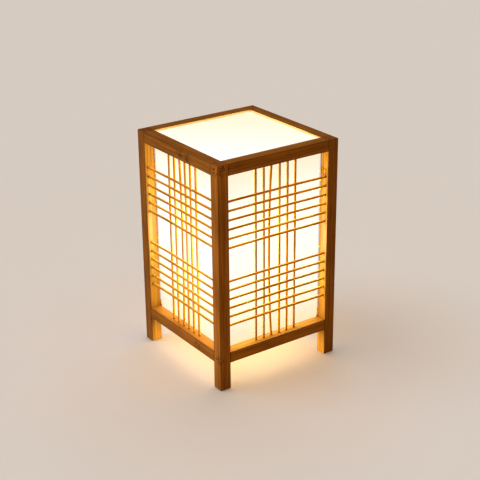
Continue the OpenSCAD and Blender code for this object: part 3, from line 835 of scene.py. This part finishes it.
class LAMP_OT_stage(bpy.types.Operator):
    """Makes the floor, the studio light, the glow of the lit lamp and the camera"""
    bl_idname = "lamp.stage"
    bl_label = "Stage"

    # The light from all round is warm, and the other lamps are as much cooler, so
    # that together they are about white
    SKY_COLOUR = (1.0, 0.78, 0.2)
    KEY_COLOUR = (1.04, 1.32, 2.4)
    KEY_FLOOR_COLOUR = (1.0, 1.175, 1.45)
    BACK_FLOOR_COLOUR = (0.87, 1.2, 1.67)
    FILL_COLOUR = (1.17, 1.39, 2.5)
    # The ways that the distant lamps shine, and their widths in degrees
    KEY_WAY, KEY_WIDTH = (0.68, -0.29, -0.67), 50
    KEY_FLOOR_WAY, KEY_FLOOR_WIDTH = (0.50, -0.29, -0.82), 40
    BACK_FLOOR_WAY, BACK_FLOOR_WIDTH = (-0.35, -0.38, -0.86), 50
    FILL_HEIGHT, FILL_SIZE = 2.0, 16.0
    # How strong the room is that gloss sees
    ROOM = 0.4
    FLOOR_HALF = 6.0
    # The point that the camera looks at, and how near it sees
    TARGET, NEAR = (-5.6 * MM, -13.5 * MM, 158.1 * MM), 0.05
    # How far a glow stands off what it lies on
    CLEAR = 0.2 * MM
    # Lamps that stand for the light from the shade's opening and the top sheet, how
    # high the first lies in the rails, and how far the second ends from the outline
    OPENING_WOOD, OPENING_RISE = (13.7, 14.4, 9.0), 4.5 * MM
    OPENING_FLOOR, OPENING_GAP = (1.33, 1.15, 0.75), 2 * MM
    TOP_GLOW = (7.0, 10.0, 16.5)
    # Lamps that stand for the lit shade in each window: how far they end from the
    # posts' outer faces, and how bright each is, from the lowest to the highest
    EDGE_GAP = 4 * MM
    WOOD_END, WOOD_NEXT, WOOD_MIDDLE = (3.7, 4.1, 2.3), (5.8, 8.3, 6.4), (8.5, 9.0, 14.0)
    WOOD_GLOW = (WOOD_END, WOOD_NEXT, WOOD_MIDDLE, WOOD_NEXT, WOOD_END)
    STICK_END, STICK_NEXT, STICK_MIDDLE = (6.0, 8.5, 3.0), (9.0, 17.0, 11.0), (9.0, 15.5, 20.0)
    STICK_GLOW = (STICK_END, STICK_NEXT, STICK_MIDDLE, STICK_NEXT, STICK_END)

    def execute(self, context):
        looks = context.scene.lamp_stage
        context.scene.view_settings.view_transform = "Standard"
        floor = self.make_floor(looks)
        self.make_world(context, looks)
        self.make_studio_light(looks, floor)
        self.make_camera(context, looks)
        return {"FINISHED"}

    def make_floor(self, looks):
        """A level square, wide enough to pass the edges of the picture."""
        half = self.FLOOR_HALF
        corners = [(-half, -half, 0), (half, -half, 0), (half, half, 0), (-half, half, 0)]
        mesh = bpy.data.meshes.new("floor")
        mesh.from_pydata(corners, [], [(0, 1, 2, 3)])
        material, tree, _ = new_material("matt_paper_floor")
        paper = add_node(tree, "BsdfDiffuse", {"Color": rgba(looks.floor)})
        add_node(tree, "OutputMaterial", {"Surface": paper})
        mesh.materials.append(material)
        floor = bpy.data.objects.new("floor", mesh)
        bpy.context.scene.collection.objects.link(floor)
        return floor

    def make_world(self, context, looks):
        """An even, warm sky lights the scene. The camera and glass see the floor's
        colour in its place, so that the floor has no far edge, and gloss sees a
        dimmer room."""
        world = bpy.data.worlds.new("studio")
        context.scene.world = world
        world.use_nodes = True
        tree = world.node_tree
        tree.nodes.clear()
        sky = add_node(tree, "Background", (rgba(self.SKY_COLOUR), looks.sky))
        seen = add_node(tree, "Background", (rgba(looks.floor), 1.0))
        room = add_node(tree, "Background", (rgba(looks.floor), self.ROOM))
        ray = add_node(tree, "LightPath")
        straight = add_node(tree, "Math", (ray.outputs["Is Camera Ray"],
                                           ray.outputs["Is Transmission Ray"]),
                            operation="MAXIMUM")
        lights = add_node(tree, "MixShader", (ray.outputs["Is Glossy Ray"], sky, room))
        mixed = add_node(tree, "MixShader", (straight, lights, seen))
        add_node(tree, "OutputWorld", {"Surface": mixed})

    def area_light(self, name, centre, facing, size, radiance, receivers):
        """A rectangular lamp of the given radiance that only lights its receivers.
        Its power is the radiance times its area times pi."""
        lamp = bpy.data.lights.new(name, "AREA")
        lamp.shape = "RECTANGLE"
        lamp.size, lamp.size_y = size
        strongest = max(radiance)
        lamp.color = [c / strongest for c in radiance]
        lamp.energy = strongest * size[0] * size[1] * math.pi
        made = bpy.data.objects.new(name, lamp)
        made.matrix_world = (Matrix.Translation(centre)
                             @ Vector(facing).to_track_quat("-Z", "Y").to_matrix().to_4x4())
        made.visible_camera = False
        bpy.context.scene.collection.objects.link(made)
        made.light_linking.receiver_collection = receivers

    def collection(self, name, objects):
        """A collection for light linking."""
        made = bpy.data.collections.new(name)
        for thing in objects:
            made.objects.link(thing)
        return made

    def sun(self, name, way, strength, angle, colour, receivers):
        """A soft distant lamp that gives a level surface this share of white."""
        lamp = bpy.data.lights.new(name, "SUN")
        lamp.color = colour
        way = Vector(way).normalized()
        lamp.energy, lamp.angle = strength * math.pi / -way.z, math.radians(angle)
        made = bpy.data.objects.new(name, lamp)
        made.rotation_mode = "QUATERNION"
        made.rotation_quaternion = way.to_track_quat("-Z", "Y")
        bpy.context.scene.collection.objects.link(made)
        made.light_linking.receiver_collection = receivers

    def make_studio_light(self, looks, floor):
        """A soft key light from the left and the glow of the lit lamp. Both are
        split into what reaches the lamp and what reaches the floor, because the
        photograph's highlights are softened and its floor is not. The rest of the
        floor's light comes from behind the lamp and from straight above."""
        dressed = [thing for thing in bpy.context.scene.objects
                   if thing.type == "MESH" and thing is not floor]
        lamp = self.collection("lamp_pieces", dressed)
        round_sticks = [thing for thing in dressed if thing.name.endswith("_round")]
        sticks = self.collection("round_sticks", round_sticks)
        wood = self.collection("pieces_near_the_shade", [
            thing for thing in dressed if thing not in round_sticks
            and thing.name not in ("shade_wrap_folded", "top_sheet", "bulb_globe")])
        ground = self.collection("ground", [floor])

        self.sun("key_lamp", self.KEY_WAY, 1 - looks.sky, self.KEY_WIDTH, self.KEY_COLOUR, lamp)
        self.sun("key_floor", self.KEY_FLOOR_WAY, looks.key, self.KEY_FLOOR_WIDTH,
                 self.KEY_FLOOR_COLOUR, ground)
        self.sun("back_floor", self.BACK_FLOOR_WAY, looks.back, self.BACK_FLOOR_WIDTH,
                 self.BACK_FLOOR_COLOUR, ground)
        fill = [c * (1 - looks.sky - looks.key - looks.back) for c in self.FILL_COLOUR]
        self.area_light("fill_floor", (0, 0, self.FILL_HEIGHT), (0, 0, -1),
                        (self.FILL_SIZE, self.FILL_SIZE), fill, ground)

        width = 2 * (abs(POST_HIGH.x) - self.EDGE_GAP)
        reach = abs(POST_HIGH.y) - self.CLEAR
        step = (TOP_RAIL_LOW.z - RAIL_HIGH.z) / len(self.WOOD_GLOW)
        for k in range(4):
            turn = Matrix.Rotation(k * math.pi / 2, 3, "Z")
            facing = turn @ Vector((0, -1, 0))
            for level, (for_wood, for_sticks) in enumerate(zip(self.WOOD_GLOW, self.STICK_GLOW)):
                centre = turn @ Vector((0, -reach, RAIL_HIGH.z + (level + 0.5) * step))
                self.area_light(f"glow_wood_{SIDES[k]}_{level}", centre, facing, (width, step),
                                for_wood, wood)
                self.area_light(f"glow_sticks_{SIDES[k]}_{level}", centre, facing, (width, step),
                                for_sticks, sticks)
        for name, half, height, way, radiance, receivers in (
                ("opening_wood", abs(SHADE_LOW.x), RAIL_LOW.z + self.OPENING_RISE, -1,
                 self.OPENING_WOOD, wood),
                ("opening_floor", abs(POST_LOW.x) - self.OPENING_GAP, RAIL_LOW.z - self.CLEAR, -1,
                 self.OPENING_FLOOR, ground),
                ("top_glow", abs(SHEET_LOW.x), SHEET_HIGH.z + self.CLEAR, 1,
                 self.TOP_GLOW, wood)):
            self.area_light(name, (0, 0, height), (0, 0, way), (2 * half, 2 * half), radiance,
                            receivers)

    def make_camera(self, context, looks):
        """A camera at the photograph's angle. Back is the way from the point that
        it looks at to the camera, and right and up are turned by the roll."""
        back = Vector((math.sin(looks.azimuth) * math.cos(looks.elevation),
                       -math.cos(looks.azimuth) * math.cos(looks.elevation),
                       math.sin(looks.elevation)))
        right = Vector((0, 0, 1)).cross(back).normalized()
        up = back.cross(right)
        cos, sin = math.cos(looks.roll), math.sin(looks.roll)
        right, up = cos * right + sin * up, cos * up - sin * right
        camera = bpy.data.objects.new("camera", bpy.data.cameras.new("camera"))
        camera.data.lens = looks.focal
        camera.data.clip_start = self.NEAR
        turn = Matrix((right, up, back)).transposed().to_4x4()
        place = Vector(self.TARGET) + back * looks.distance
        camera.matrix_world = Matrix.Translation(place) @ turn
        context.scene.collection.objects.link(camera)
        context.scene.camera = camera


class LAMP_PT_sidebar(bpy.types.Panel):
    """Lists the lamp's pieces and their looks in the sidebar"""
    bl_idname = "LAMP_PT_sidebar"
    bl_label = "Bamboo lamp"
    bl_space_type = "VIEW_3D"
    bl_region_type = "UI"
    bl_category = "Lamp"

    def draw(self, context):
        for operator in OPERATORS:
            self.layout.operator(operator.bl_idname)
        for _, attribute in GROUPS:
            looks = getattr(context.scene, attribute)
            box = self.layout.box()
            for name in looks.bl_rna.properties.keys():
                if name not in ("rna_type", "name"):
                    box.prop(looks, name)


GROUPS = (
    (LampWoodLooks, "lamp_wood"),
    (LampShadeLooks, "lamp_shade"),
    (LampFittingLooks, "lamp_fitting"),
    (LampStage, "lamp_stage"),
)
OPERATORS = (
    LAMP_OT_frame_wood,
    LAMP_OT_sticks,
    LAMP_OT_shade,
    LAMP_OT_cross,
    LAMP_OT_holder,
    LAMP_OT_bulb,
    LAMP_OT_stage,
)


def register():
    for group, attribute in GROUPS:
        bpy.utils.register_class(group)
        setattr(bpy.types.Scene, attribute, PointerProperty(type=group))
    for operator in OPERATORS:
        bpy.utils.register_class(operator)
    bpy.utils.register_class(LAMP_PT_sidebar)


def unregister():
    bpy.utils.unregister_class(LAMP_PT_sidebar)
    for operator in reversed(OPERATORS):
        bpy.utils.unregister_class(operator)
    for group, attribute in reversed(GROUPS):
        delattr(bpy.types.Scene, attribute)
        bpy.utils.unregister_class(group)


def main():
    """Makes every piece and the stage."""
    register()
    bpy.ops.lamp.frame_wood()
    bpy.ops.lamp.sticks()
    bpy.ops.lamp.shade()
    bpy.ops.lamp.cross()
    bpy.ops.lamp.holder()
    bpy.ops.lamp.bulb()
    bpy.ops.lamp.stage()


if __name__ == "__main__":
    main()
